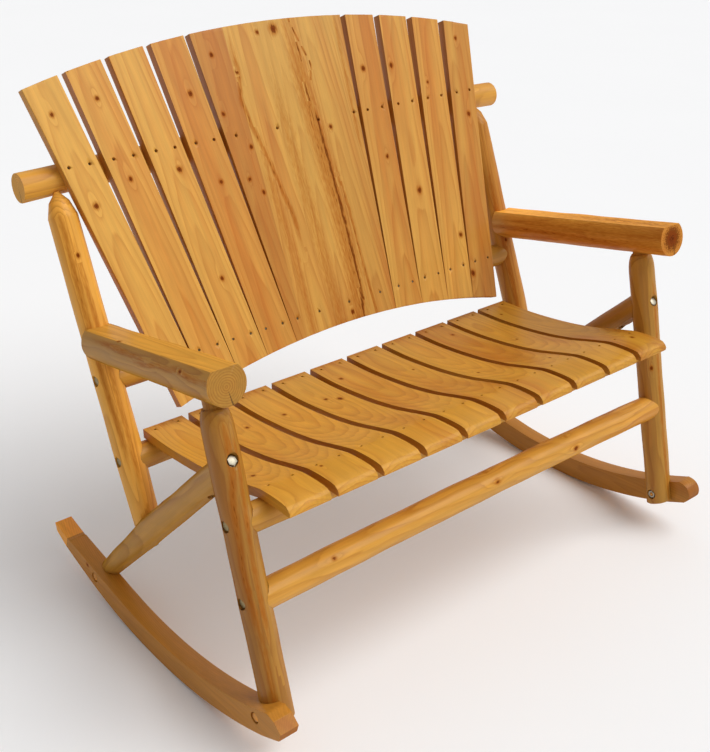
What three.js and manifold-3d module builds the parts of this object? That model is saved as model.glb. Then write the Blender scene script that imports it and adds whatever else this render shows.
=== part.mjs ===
// Two-seat log rocking bench: round-log frame, fan back, scooped seat slats, two curved rockers.
// Millimetres, +Z up, front faces -Y; left and right are as seen from the front, right is +X.
// The exported group stands on the floor with the middle of its box at the origin.
import * as THREE from 'three';
import { mergeVertices } from 'three/addons/utils/BufferGeometryUtils.js';
import Module from 'manifold-3d';

const wasm = await Module();
wasm.setup();
const { Manifold, Mesh: SolidMesh } = wasm;
const degree = Math.PI / 180;
const bench = new THREE.Group();

// Clearances and cuts
const seat_gap = 0.3;
const overrun = 6;
const log_sides = 20;
const bore_sides = 16;
const bolt_sides = 10;
const curve_sides = 180;

// Rockers: sawn planks on a circle that touches the floor at balance_y
const rocker_radius = 975;
const rocker_height = 48;
const rocker_thickness = 36;
const rocker_side_gap = 48.1;
const balance_y = -41.5;
const rocker_front_y = -449;
const rocker_rear_y = 356.6;
const rocker_taper_y = 136;
const rocker_step_y = 297;
const rocker_step = 2.5;
const rocker_nose_length = 24.7;
const rocker_toe_length = 34;
const rocker_toe_bevel = 10;
const nose_length_shares = [0.38, 0, 0.45];
const nose_height_shares = [0.75, 0.32, 0.04];
const rocker_facet_angle = 6 * degree;
const rocker_top_facet_angle = 3 * degree;
const lap_clearance = 7;

// Front posts: lean back and splay out a little
const front_post_radius = 27;
const front_post_lean = 13.07 * degree;
const front_post_splay = 1.1 * degree;
const front_post_side_gap = 39.1;
const front_post_foot_z = 70;
const front_neck_z = 566;
const front_neck_rise = 38;
const front_tenon_radius = 16.5;
const front_tenon_top_z = 634;
const front_rail_y = -294.3;
const front_rail_z = 410.8;
const front_rail_radius = 25.5;
const stretcher_z = 278.9;
const stretcher_radius = 26;
const stretcher_bow = 5.6;

// Rear posts and the rails that they carry
const rear_post_radius = 27;
const rear_post_foot_radius = 25;
const rear_post_lean = 20.76 * degree;
const rear_post_side_gap = 38.1;
const rear_shoulder_z = 783;
const rear_cone_rise = 26;
const rear_cone_radius = 19;
const rear_tip_rise = 18;
const rear_tip_radius = 9;
const rear_rail_y = 70.4;
const rear_rail_z = 359.7;
const rear_rail_radius = 25.5;
const lower_rail_z = 502.5;
const lower_rail_radius = 24.5;
const top_rail_y = 270.1;
const top_rail_z = 836.3;
const top_rail_radius = 27;
const top_rail_right_overhang = 78;
const top_rail_left_overhang = 58;
const top_rail_bow = 9.6;

// Diagonal braces: from the rocker's rear up to the front post, thickest in the middle
const brace_radius = 26.7;
const brace_top_radius = 24.4;
const brace_foot_radius = 20;
const brace_middle_share = 0.45;
const brace_lean = 46.86 * degree;
const brace_side_gap = 48.1;
const brace_foot_y = 189;
const brace_foot_z = 68;
const brace_foot_overhang = 40;

// Armrests: the two logs are not cut to one length at the front
const arm_radius = 36;
const arm_flat_height = 26.5;
const arm_side_gap = 41.1;
const arm_slope = 10 * degree;
const arm_axis_z = 642;
const arm_left_overhang = 40;
const arm_right_overhang = 88;
const arm_ear = 11;

// Back: boards on the fronts of the top and lower rails, cut to two arcs after fanning
const back_board_thickness = 19;
const back_board_width = 73;
const back_board_gap = 0.5;
const panel_opening_angle = 1.17 * degree;
const back_lean_step = 1.55 * degree;
const back_boards_a_side = 4;
const outer_board_trim_left = 9;
const outer_board_trim_right = 3;
const panel_bottom_half_width = 130;
const panel_top_half_width = 182;
const back_top_rise = 221;
const back_top_radius = 2242;
const back_bottom_drop = 34;
const back_bottom_radius = 1657;

// Seat slats: sawn to one contour that rises to the front
const seat_slat_count = 10;
const seat_slat_width = 82;
const seat_slat_pitch = 96.2;
const seat_slat_thickness = 18;
const seat_rear_y = 84;
const seat_front_y = -372;
const seat_front_ease = 0.5;
const seat_nose_back = 1;
const seat_depth_shares = [0, 0.079, 0.162, 0.228, 0.294, 0.36, 0.425, 0.491, 0.557, 0.623, 0.689,
  0.776, 0.83, 0.875, 0.919, 0.956];
const seat_rise_shares = [0, 0, 0.01, 0.04, 0.087, 0.145, 0.213, 0.3, 0.407, 0.533, 0.688,
  0.891, 1, 1.035, 1.048, 1.042];
const nose_depth_shares = [0.978, 0.991, 1];
const nose_rise_shares = [1.012, 0.93, 0.814];

// Bolts and nuts
const bolt_radius = 4;
const bolt_head_across_corners = 17.3;
const bolt_head_height = 6.5;
const washer_radius = 9.6;
const washer_thickness = 1.6;
const nut_height = 7;
const bolt_past_nut = 2;
const counterbore_radius = 10.6;
const counterbore_depth = 12;
const rocker_bore_depth = 9.5;
const nut_room_depth = 9.5;
const rail_bolt_bite = 48;
const rail_bolt_rise = 4;
const brace_bolt_reach = 92;
const brace_bolt_rise_left = 6;
const brace_bolt_rise_right = -10;
const nut_pocket_radius = 13;
const nut_pocket_past_axis = 10;
const foot_bolt_bite = 54;
const post_foot_bolt_share = 0.6;
const brace_foot_bolt_share = 0.5;

// The side frames stand a side gap outside the seat's half width
const seat_half_width = (seat_slat_pitch * (seat_slat_count - 1) + seat_slat_width) / 2;
const rocker_inner_x = seat_half_width + rocker_side_gap;
const front_post_foot_x = seat_half_width + front_post_side_gap;
const rear_post_x = seat_half_width + rear_post_side_gap;
const brace_x = seat_half_width + brace_side_gap;
const arm_x = seat_half_width + arm_side_gap;
const top_rail_right_end = rear_post_x + top_rail_right_overhang;
const top_rail_left_end = rear_post_x + top_rail_left_overhang;

const up = new THREE.Vector3(0, 0, 1);
const outward = new THREE.Vector3(1, 0, 0);

// Solids: geometry in and out of the boolean library
function toSolid(geometry) {
  const bare = geometry.clone();
  bare.deleteAttribute('normal');
  bare.deleteAttribute('uv');
  const merged = mergeVertices(bare);
  return new Manifold(new SolidMesh({
    numProp: 3,
    vertProperties: Float32Array.from(merged.attributes.position.array),
    triVerts: Uint32Array.from(merged.index.array),
  }));
}

function toGeometry(solid) {
  const mesh = solid.getMesh();
  const geometry = new THREE.BufferGeometry();
  geometry.setAttribute('position', new THREE.BufferAttribute(mesh.vertProperties, mesh.numProp));
  geometry.setIndex(new THREE.BufferAttribute(mesh.triVerts, 1));
  geometry.computeVertexNormals();
  return geometry;
}

function wood(name, tone) {
  return new THREE.MeshStandardMaterial({ name, color: tone, roughness: 0.42, metalness: 0 });
}

function addPiece(name, solid, material) {
  const mesh = new THREE.Mesh(toGeometry(solid), material);
  mesh.name = name;
  bench.add(mesh);
}

// A turned solid: profile of [radius, distance] pairs, from the point start along direction
function turned(profile, start, direction, sides) {
  const points = profile.map(([radius, along]) => new THREE.Vector2(radius, along));
  const geometry = new THREE.LatheGeometry(points, sides);
  const turn = new THREE.Quaternion().setFromUnitVectors(new THREE.Vector3(0, 1, 0), direction);
  geometry.applyQuaternion(turn);
  geometry.translate(start.x, start.y, start.z);
  return geometry;
}

function rod(radius, start, direction, length, sides = log_sides) {
  return toSolid(turned([[0, 0], [radius, 0], [radius, length], [0, length]], start, direction, sides));
}

// A left-right log between two ends, bowed along a direction
function crossLog(radius, centre, left_end, right_end, bow, bow_direction) {
  const steps = bow ? 8 : 1;
  const length = left_end + right_end;
  const profile = [[0, 0]];
  for (let i = 0; i <= steps; i += 1) profile.push([radius, length * i / steps]);
  profile.push([0, length]);
  const start = new THREE.Vector3(-left_end, centre.y, centre.z);
  const geometry = turned(profile, start, outward, log_sides);
  const places = geometry.attributes.position;
  for (let i = 0; i < places.count; i += 1) {
    const lift = bow * (1 - (2 * places.getX(i) / length) ** 2);
    places.setY(i, places.getY(i) + lift * bow_direction.y);
    places.setZ(i, places.getZ(i) + lift * bow_direction.z);
  }
  return toSolid(geometry);
}

function crossed(points, low, high) {
  const shape = new THREE.Shape(points);
  return new THREE.ExtrudeGeometry(shape, { depth: high - low, bevelEnabled: false });
}

// An outline of (y, z) points, extruded along X from low to high
function profileAlongX(points, low, high) {
  const geometry = crossed(points, low, high);
  const toRow = new THREE.Matrix4().makeBasis(
    new THREE.Vector3(0, 1, 0), new THREE.Vector3(0, 0, 1), new THREE.Vector3(1, 0, 0));
  geometry.applyMatrix4(toRow);
  geometry.translate(low, 0, 0);
  return toSolid(geometry);
}

function mirrored(solid) {
  return solid.mirror([1, 0, 0]);
}

// Lines that the logs follow, on the +X side
const rear_post_direction = new THREE.Vector3(0, Math.sin(rear_post_lean), Math.cos(rear_post_lean));
const front_post_direction = new THREE.Vector3(
  Math.tan(front_post_splay), Math.tan(front_post_lean), 1).normalize();
const brace_direction = new THREE.Vector3(0, -Math.sin(brace_lean), Math.cos(brace_lean));
const brace_normal = new THREE.Vector3(0, Math.cos(brace_lean), Math.sin(brace_lean));
const arm_direction = new THREE.Vector3(0, -Math.cos(arm_slope), Math.sin(arm_slope));
const arm_normal = new THREE.Vector3(0, Math.sin(arm_slope), Math.cos(arm_slope));

function rearPostAt(z) {
  const y = rear_rail_y + (z - rear_rail_z) * Math.tan(rear_post_lean);
  return new THREE.Vector3(rear_post_x, y, z);
}

function frontPostAt(z) {
  const y = front_rail_y + (z - front_rail_z) * Math.tan(front_post_lean);
  const x = front_post_foot_x + (z - front_post_foot_z) * Math.tan(front_post_splay);
  return new THREE.Vector3(x, y, z);
}

const brace_foot = new THREE.Vector3(brace_x, brace_foot_y, brace_foot_z);
const arm_front_y = frontPostAt(arm_axis_z).y;
const arm_anchor = new THREE.Vector3(arm_x, arm_front_y, arm_axis_z);

// Where two lines in side view cross, as a point on the first
function crossingInSideView(point, direction, other_point, other_direction) {
  const dy = other_point.y - point.y;
  const dz = other_point.z - point.z;
  const turn = direction.y * other_direction.z - direction.z * other_direction.y;
  const along = (dy * other_direction.z - dz * other_direction.y) / turn;
  return point.clone().addScaledVector(direction, along);
}

const brace_at_rear_post = crossingInSideView(
  brace_foot, brace_direction, rearPostAt(rear_rail_z), rear_post_direction);
const brace_at_front_post = crossingInSideView(
  brace_foot, brace_direction, frontPostAt(front_rail_z), front_post_direction);
const arm_at_rear_post = crossingInSideView(
  arm_anchor, arm_direction, rearPostAt(rear_rail_z), rear_post_direction);

// Rocker outline in side view: angle from straight down and share of the plank's height
function rockerPoint(angle, height_share, radius = rocker_radius) {
  const reach = radius - rocker_height * height_share;
  return new THREE.Vector2(balance_y + reach * Math.sin(angle), rocker_radius - reach * Math.cos(angle));
}

function rockerAngle(y) {
  return Math.asin((y - balance_y) / rocker_radius);
}

// Multiples of a step, from the share first on, that lie between two angles, falling
function anglesBetween(low, high, step, first_share) {
  const angles = [];
  for (let i = Math.floor(high / step - first_share); (i + first_share) * step > low; i -= 1) {
    angles.push((i + first_share) * step);
  }
  return angles;
}

// The lower edge is flat facets round the balance point; the rear thins, with a small step in its top
function rockerOutline(grow) {
  const outer = (rocker_radius + grow) / Math.cos(rocker_facet_angle / 2);
  const lift = grow / rocker_height;
  const nose_end = rockerAngle(rocker_front_y);
  const nose_start = rockerAngle(rocker_front_y + rocker_nose_length);
  const rear_end = rockerAngle(rocker_rear_y);
  const toe_start = rockerAngle(rocker_rear_y - rocker_toe_length);
  const taper = rockerAngle(rocker_taper_y);
  const step = rockerAngle(rocker_step_y);
  const lower_low = nose_end + (nose_start - nose_end) * nose_length_shares[2];
  const lower = anglesBetween(lower_low, toe_start, rocker_facet_angle, 0.5).reverse();
  const upper = anglesBetween(nose_start, taper, rocker_top_facet_angle, 0);
  return [
    ...lower.map((angle) => rockerPoint(angle, 0, outer)),
    rockerPoint(toe_start, -lift),
    rockerPoint(rockerAngle(rocker_rear_y - rocker_toe_bevel), 0.04 - lift),
    rockerPoint(rear_end, 0.35 + lift),
    rockerPoint(step, 0.6 - rocker_step / rocker_height + lift),
    rockerPoint(step, 0.6 + lift),
    rockerPoint((taper + step) / 2, 0.86 + lift),
    rockerPoint(taper, 1 + lift),
    ...upper.map((angle) => rockerPoint(angle, 1 + lift)),
    rockerPoint(nose_start, 1 + lift),
    ...nose_length_shares.map((share, i) => rockerPoint(
      nose_end + (nose_start - nose_end) * share, nose_height_shares[i])),
  ];
}

function rockerSolid() {
  return profileAlongX(rockerOutline(0), rocker_inner_x, rocker_inner_x + rocker_thickness);
}

// The room that a lapped log leaves for the rocker, open to the outside and below
function rockerRoom() {
  const outline = rockerOutline(seat_gap);
  const room = profileAlongX(outline, rocker_inner_x - seat_gap, rocker_inner_x + 2 * rocker_thickness);
  return room.add(room.translate([0, 0, -rocker_height / 2])).add(room.translate([0, 0, -rocker_height]));
}

// Lapped logs end inside the rocker's curve, so that only the rocker meets the floor
function insideRockerCurve(solid) {
  const start = new THREE.Vector3(0, balance_y, rocker_radius);
  const wheel = rod(rocker_radius - lap_clearance, start, outward, top_rail_right_end, curve_sides);
  return solid.intersect(wheel);
}

// Logs before joinery, each with a radius growth for the room that its neighbours leave
function rearPostLog(grow) {
  const foot = rearPostAt(brace_at_rear_post.z);
  const shoulder = (rear_shoulder_z - foot.z) / Math.cos(rear_post_lean);
  const full_from = (rear_rail_z + rear_rail_radius - foot.z) / Math.cos(rear_post_lean);
  const cone_end = shoulder + rear_cone_rise;
  const tip_end = cone_end + rear_tip_rise;
  const profile = [[0, 0], [rear_post_foot_radius + grow, 0], [rear_post_radius + grow, full_from],
    [rear_post_radius + grow, shoulder], [rear_cone_radius + grow, cone_end],
    [rear_tip_radius + grow, cone_end + rear_tip_rise * 2 / 3], [rear_tip_radius / 2 + grow, tip_end],
    [0, tip_end + grow]];
  return toSolid(turned(profile, foot, rear_post_direction, log_sides));
}

function frontPostLog(grow) {
  const foot = frontPostAt(front_post_foot_z - rocker_height / 2);
  const neck = (front_neck_z - foot.z) / front_post_direction.z;
  const top = (front_tenon_top_z - foot.z) / front_post_direction.z;
  const radius = front_post_radius + grow;
  const tenon = front_tenon_radius + grow;
  const profile = [[0, 0], [radius, 0]];
  for (let i = 0; i <= 5; i += 1) {
    const turn = i * 18 * degree;
    profile.push([tenon + (radius - tenon) * Math.cos(turn), neck + front_neck_rise * Math.sin(turn)]);
  }
  profile.push([tenon, top + grow], [0, top + grow]);
  return toSolid(turned(profile, foot, front_post_direction, log_sides));
}

// The brace thins below on its upper side and above on its lower side
function braceLog(grow) {
  const start = brace_foot.clone().addScaledVector(brace_direction, -brace_foot_overhang);
  const length = start.distanceTo(brace_at_front_post);
  const middle = brace_middle_share * length;
  const profile = [[0, 0], [brace_foot_radius + grow, 0], [brace_foot_radius + grow, brace_foot_overhang],
    [brace_radius + grow, middle], [brace_top_radius + grow, length], [0, length]];
  const geometry = turned(profile, start, brace_direction, log_sides);
  const places = geometry.attributes.position;
  const point = new THREE.Vector3();
  for (let i = 0; i < places.count; i += 1) {
    point.fromBufferAttribute(places, i);
    const along = point.clone().sub(start).dot(brace_direction);
    const shift = along > middle
      ? (brace_radius - brace_top_radius) * (along - middle) / (length - middle)
      : (brace_foot_radius - brace_radius) * Math.min(1, (middle - along) / (middle - brace_foot_overhang));
    point.addScaledVector(brace_normal, shift);
    places.setXYZ(i, point.x, point.y, point.z);
  }
  return toSolid(geometry);
}

// Bolts: seat is the point under the washer, direction points into the wood
function hexPrism(seat, direction, height) {
  return rod(bolt_head_across_corners / 2, seat, direction, height, 6);
}

function boltSolid({ seat, direction, length }) {
  const back = seat.clone().addScaledVector(direction, -washer_thickness);
  const head_top = back.clone().addScaledVector(direction, -bolt_head_height);
  const tip = bolt_radius / 2;
  const shank = toSolid(turned([[0, 0], [bolt_radius, 0], [bolt_radius, length - tip], [tip, length],
    [0, length]], seat.clone().addScaledVector(direction, -washer_thickness / 2), direction, bolt_sides));
  const washer = rod(washer_radius, back, direction, washer_thickness, 2 * bolt_sides);
  return shank.add(washer).add(hexPrism(head_top, direction, bolt_head_height + washer_thickness / 2));
}

function bore({ seat, direction, length }) {
  const bore = rod(bolt_radius + seat_gap, seat, direction, length + seat_gap + overrun / 3, bolt_sides);
  const mouth = seat.clone().addScaledVector(direction, seat_gap);
  return bore.add(counterbore(mouth, direction));
}

function counterbore(seat, direction) {
  const back = direction.clone().negate();
  return rod(counterbore_radius, seat, back, counterbore_depth + 4 * overrun, bore_sides);
}

function nutSolid({ nut_face, direction }) {
  const start = nut_face.clone().addScaledVector(direction, -overrun);
  const hole = rod(bolt_radius + seat_gap, start, direction, nut_height + 2 * overrun, bolt_sides);
  return hexPrism(nut_face, direction, nut_height).subtract(hole);
}

// A bolt along X through a post at height z, with its head in the post's outer side
function sideBolt(post_point, post_radius, length) {
  const seat = post_point.clone();
  seat.x += post_radius - counterbore_depth;
  seat.z += rail_bolt_rise;
  const direction = outward.clone().negate();
  return { seat, direction, length };
}

const rail_bolt_length = 2 * rear_post_radius - counterbore_depth + rail_bolt_bite;
const lower_rail_bolt = sideBolt(rearPostAt(lower_rail_z), rear_post_radius, rail_bolt_length);
const rear_rail_bolt = sideBolt(rearPostAt(rear_rail_z), rear_post_radius, rail_bolt_length);
const front_rail_bolt = sideBolt(frontPostAt(front_rail_z), front_post_radius, rail_bolt_length);
const stretcher_bolt = sideBolt(frontPostAt(stretcher_z), front_post_radius, rail_bolt_length);

// Bolts through the rocker, with a nut on the inner side of the lapped log
function rockerBolt(angle, height_share, inner_x) {
  const middle = rockerPoint(angle, height_share);
  const seat_x = rocker_inner_x + rocker_thickness - rocker_bore_depth;
  const seat = new THREE.Vector3(seat_x, middle.x, middle.y);
  const direction = outward.clone().negate();
  const nut_face = seat.clone();
  nut_face.x = inner_x + nut_room_depth;
  const length = seat.x - nut_face.x + nut_height + bolt_past_nut;
  return { seat, direction, length, nut_face };
}

const brace_bolt_angle = Math.asin((brace_foot_y - balance_y) / (rocker_radius - rocker_height / 2));
const post_foot = frontPostAt(front_post_foot_z + rocker_height / 4);
const post_bolt_angle = Math.asin((post_foot.y - balance_y) / (rocker_radius - rocker_height / 2));
const brace_foot_bolt = rockerBolt(brace_bolt_angle, brace_foot_bolt_share, brace_x - brace_foot_radius);
const post_foot_bolt = rockerBolt(post_bolt_angle, post_foot_bolt_share, post_foot.x - front_post_radius);

// Bolt along the brace, from the front post's face to a nut in a pocket under the brace
const brace_bolt_direction = brace_direction.clone().negate();
const post_to_face = front_post_radius / Math.sin(brace_lean + front_post_lean);

function braceTopBolt(rise) {
  const seat = brace_at_front_post.clone();
  seat.x = frontPostAt(seat.z).x;
  seat.addScaledVector(front_post_direction, rise);
  seat.addScaledVector(brace_bolt_direction, counterbore_depth - post_to_face);
  const nut_face = seat.clone().addScaledVector(brace_bolt_direction, brace_bolt_reach);
  const length = brace_bolt_reach + nut_height + bolt_past_nut;
  return { seat, direction: brace_bolt_direction, length, nut_face };
}

const brace_top_bolt_right = braceTopBolt(brace_bolt_rise_right);
const brace_top_bolt_left = braceTopBolt(brace_bolt_rise_left);

function nutPocket(bolt) {
  const middle = bolt.nut_face.clone().addScaledVector(bolt.direction, nut_height / 2);
  const inner_end = middle.addScaledVector(brace_normal, nut_pocket_past_axis);
  return rod(nut_pocket_radius, inner_end, brace_normal.clone().negate(), 3 * brace_radius, bore_sides);
}

// Bolt from under the brace up into the rear post's foot
const foot_to_face = brace_radius / Math.sin(brace_lean + rear_post_lean);
const rear_foot_bolt = {
  seat: rearPostAt(brace_at_rear_post.z).addScaledVector(
    rear_post_direction, counterbore_depth - foot_to_face),
  direction: rear_post_direction,
  length: foot_to_face - counterbore_depth + brace_radius + foot_bolt_bite - overrun,
};

// Bolt through the rear post into the end of the armrest
const arm_bolt_reach = rear_post_radius / Math.cos(rear_post_lean - arm_slope);
const arm_bolt = {
  seat: arm_at_rear_post.clone().addScaledVector(arm_direction, counterbore_depth - arm_bolt_reach),
  direction: arm_direction,
  length: 2 * arm_bolt_reach - counterbore_depth + rail_bolt_bite,
};
arm_bolt.seat.x = rear_post_x;

function cut(solid, cutters) {
  return cutters.reduce((left, cutter) => left.subtract(cutter), solid);
}

// Room for a nut on the inner side of a lapped log
function nutRoom(bolt) {
  const face = bolt.nut_face.clone();
  face.x += seat_gap;
  return rod(counterbore_radius, face, outward.clone().negate(), nut_room_depth + 2 * overrun, bore_sides);
}

function makeRocker() {
  return cut(rockerSolid(), [bore(brace_foot_bolt), bore(post_foot_bolt)]);
}

function makeFrontPost(top_bolt) {
  return cut(insideRockerCurve(frontPostLog(0)), [rockerRoom(), bore(front_rail_bolt),
    bore(stretcher_bolt), bore(top_bolt), bore(post_foot_bolt), nutRoom(post_foot_bolt)]);
}

function makeBrace(top_bolt) {
  return cut(insideRockerCurve(braceLog(0)), [rockerRoom(), frontPostLog(seat_gap), bore(brace_foot_bolt),
    nutRoom(brace_foot_bolt), bore(top_bolt), nutPocket(top_bolt), bore(rear_foot_bolt)]);
}

// The rear post ends in a cope over the brace, cut off level with the brace's middle
function makeRearPost() {
  const offset = brace_normal.dot(brace_foot) + brace_radius / 4;
  const above = rearPostLog(0).trimByPlane([brace_normal.x, brace_normal.y, brace_normal.z], offset);
  return cut(above, [braceLog(seat_gap), bore(lower_rail_bolt), bore(rear_rail_bolt),
    bore(rear_foot_bolt), bore(arm_bolt)]);
}

function makeArmrest(front_overhang) {
  const post_face = arm_at_rear_post.clone().addScaledVector(arm_direction, arm_bolt_reach - arm_ear);
  const front_end = arm_anchor.clone().addScaledVector(arm_direction, front_overhang);
  const log = rod(arm_radius, post_face, arm_direction, post_face.distanceTo(front_end));
  const flat = arm_normal.dot(arm_anchor) + arm_flat_height;
  const planed = log.trimByPlane([-arm_normal.x, -arm_normal.y, -arm_normal.z], -flat);
  return cut(planed, [rearPostLog(seat_gap), frontPostLog(seat_gap), bore(arm_bolt)]);
}

function bothSides(solid) {
  return [solid, mirrored(solid)];
}

// A rail between two posts: coped to both, with a bolt bore in each end
function makeRail(radius, y, z, post, post_log, bolt, bow) {
  const end = post.x - overrun;
  const log = crossLog(radius, new THREE.Vector3(0, y, z), end, end, bow, up);
  return cut(log, [...bothSides(post_log), ...bothSides(bore(bolt))]);
}

// Back plane: touches the fronts of the lower and top rails
const lower_rail = rearPostAt(lower_rail_z);
const rail_dy = top_rail_y - lower_rail.y;
const rail_dz = top_rail_z - lower_rail_z;
const rail_spacing = Math.hypot(rail_dy, rail_dz);
const rail_line_lean = Math.atan2(rail_dy, rail_dz);
const back_lean = rail_line_lean - Math.asin((top_rail_radius - lower_rail_radius) / rail_spacing);
const panel_height = rail_spacing + back_top_rise + back_bottom_drop;
const panel_lean = Math.atan((panel_top_half_width - panel_bottom_half_width) / panel_height);
const back_up = new THREE.Vector3(0, Math.sin(back_lean), Math.cos(back_lean));
const back_front = new THREE.Vector3(0, -Math.cos(back_lean), Math.sin(back_lean));
const back_origin = new THREE.Vector3(0, lower_rail.y, lower_rail_z)
  .addScaledVector(back_front, lower_rail_radius + seat_gap);
const back_placing = new THREE.Matrix4().makeBasis(outward, back_up, back_front).setPosition(back_origin);

function makeTopRail() {
  const centre = new THREE.Vector3(0, top_rail_y, top_rail_z);
  const log = crossLog(top_rail_radius, centre, top_rail_left_end, top_rail_right_end,
    top_rail_bow, back_up);
  return cut(log, bothSides(rearPostLog(seat_gap)));
}

// The blank that all back boards are cut to: an arc above and an arch below
function backBlank() {
  const top_y = rail_spacing + back_top_rise;
  const half = top_rail_right_end;
  const steps = 24;
  const points = [];
  for (let i = 0; i <= steps; i += 1) {
    const x = half * (2 * i / steps - 1);
    const arch = back_bottom_radius - Math.sqrt(back_bottom_radius ** 2 - x ** 2);
    points.push(new THREE.Vector2(x, -back_bottom_drop - arch));
  }
  for (let i = steps; i >= 0; i -= 1) {
    const x = half * (2 * i / steps - 1);
    const arc = back_top_radius - Math.sqrt(back_top_radius ** 2 - x ** 2);
    points.push(new THREE.Vector2(x, top_y - arc));
  }
  return toSolid(crossed(points, 0, back_board_thickness));
}

function placedOnBack(solid) {
  const geometry = toGeometry(solid);
  geometry.applyMatrix4(back_placing);
  return toSolid(geometry);
}

// Boards are numbered outward from the panel; they touch at the bottom and fan open above
function backBoard(number, outer_trim) {
  const lean = panel_lean + panel_opening_angle + back_lean_step * (number - 1);
  const spacing = back_board_width / Math.cos(lean) + back_board_gap;
  const bottom_x = panel_bottom_half_width + back_board_gap + spacing * (number - 0.5);
  const half = back_board_width / 2;
  const reach = rail_spacing + back_top_rise + 3 * back_bottom_drop;
  const trim = number === back_boards_a_side ? outer_trim : 0;
  const outline = [[-half, -reach], [half - 2 * trim, -reach], [half, reach], [-half, reach]];
  const points = outline.map(([x, y]) => new THREE.Vector2(x, y));
  const board = crossed(points, 0, back_board_thickness);
  board.rotateZ(-lean);
  board.translate(bottom_x, -back_bottom_drop, 0);
  const placed = placedOnBack(backBlank().intersect(toSolid(board)));
  return cut(placed, bothSides(rearPostLog(seat_gap)));
}

function centrePanel() {
  const low = -back_bottom_drop - back_top_rise;
  const high = rail_spacing + 2 * back_top_rise;
  const low_half = panel_bottom_half_width + (low + back_bottom_drop) * Math.tan(panel_lean);
  const high_half = panel_bottom_half_width + (high + back_bottom_drop) * Math.tan(panel_lean);
  const outline = [[-low_half, low], [low_half, low], [high_half, high], [-high_half, high]];
  const points = outline.map(([x, y]) => new THREE.Vector2(x, y));
  return backBlank().intersect(toSolid(crossed(points, 0, back_board_thickness)));
}

// Seat slat contour in side view; the slat lies on the rear rail and on the front rail
function seatSlat(centre_x) {
  const rear_top = rear_rail_z + rear_rail_radius + seat_gap + seat_slat_thickness;
  const front_top = front_rail_z + front_rail_radius + seat_gap + seat_front_ease + seat_slat_thickness;
  const contour = (depth_share, rise_share) => new THREE.Vector2(
    seat_rear_y + depth_share * (seat_front_y - seat_rear_y),
    rear_top + rise_share * (front_top - rear_top));
  const top = seat_depth_shares.map((share, i) => contour(share, seat_rise_shares[i]));
  const nose = nose_depth_shares.map((share, i) => contour(share, nose_rise_shares[i]));
  const bottom = top.map((point) => new THREE.Vector2(point.x, point.y - seat_slat_thickness)).reverse();
  const nose_foot = new THREE.Vector2(seat_front_y + seat_nose_back, bottom[0].y);
  const outline = [...top, ...nose, nose_foot, ...bottom];
  return profileAlongX(outline, centre_x - seat_slat_width / 2, centre_x + seat_slat_width / 2);
}

// Materials
const log_wood = wood('log_wood', 0xb98345);
const rocker_wood = wood('rocker_wood', 0xa9743a);
const slat_wood = wood('slat_wood', 0xd9a35e);
const zinc = new THREE.MeshStandardMaterial({
  name: 'zinc', color: 0xc9ccd0, roughness: 0.35, metalness: 1,
});

function addPair(name, make, material) {
  const solid = make();
  addPiece(`${name}_right`, solid, material);
  addPiece(`${name}_left`, mirrored(solid), material);
}

// Frame
addPair('rocker', makeRocker, rocker_wood);
addPiece('front_post_right', makeFrontPost(brace_top_bolt_right), log_wood);
addPiece('front_post_left', mirrored(makeFrontPost(brace_top_bolt_left)), log_wood);
addPiece('diagonal_brace_right', makeBrace(brace_top_bolt_right), log_wood);
addPiece('diagonal_brace_left', mirrored(makeBrace(brace_top_bolt_left)), log_wood);
addPair('rear_post', makeRearPost, log_wood);
addPiece('armrest_right', makeArmrest(arm_right_overhang), log_wood);
addPiece('armrest_left', mirrored(makeArmrest(arm_left_overhang)), log_wood);

// Rails
const grown_rear_post = rearPostLog(seat_gap);
const grown_front_post = frontPostLog(seat_gap);
addPiece('top_back_rail', makeTopRail(), log_wood);
addPiece('lower_back_rail', makeRail(lower_rail_radius, lower_rail.y, lower_rail_z,
  lower_rail, grown_rear_post, lower_rail_bolt, 0), log_wood);
addPiece('rear_seat_rail', makeRail(rear_rail_radius, rear_rail_y, rear_rail_z,
  rearPostAt(rear_rail_z), grown_rear_post, rear_rail_bolt, 0), log_wood);
addPiece('front_seat_rail', makeRail(front_rail_radius, front_rail_y, front_rail_z,
  frontPostAt(front_rail_z), grown_front_post, front_rail_bolt, 0), log_wood);
const stretcher_post = frontPostAt(stretcher_z);
addPiece('front_stretcher', makeRail(stretcher_radius, stretcher_post.y, stretcher_z,
  stretcher_post, grown_front_post, stretcher_bolt, stretcher_bow), log_wood);

// Back
addPiece('back_centre_panel', placedOnBack(centrePanel()), slat_wood);
for (let number = 1; number <= back_boards_a_side; number += 1) {
  addPiece(`back_slat_right_${number}`, backBoard(number, outer_board_trim_right), slat_wood);
  addPiece(`back_slat_left_${number}`, mirrored(backBoard(number, outer_board_trim_left)), slat_wood);
}

// Seat, numbered from the left
for (let number = 1; number <= seat_slat_count; number += 1) {
  const centre_x = (number - (seat_slat_count + 1) / 2) * seat_slat_pitch;
  addPiece(`seat_slat_${number}`, seatSlat(centre_x), slat_wood);
}

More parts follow.
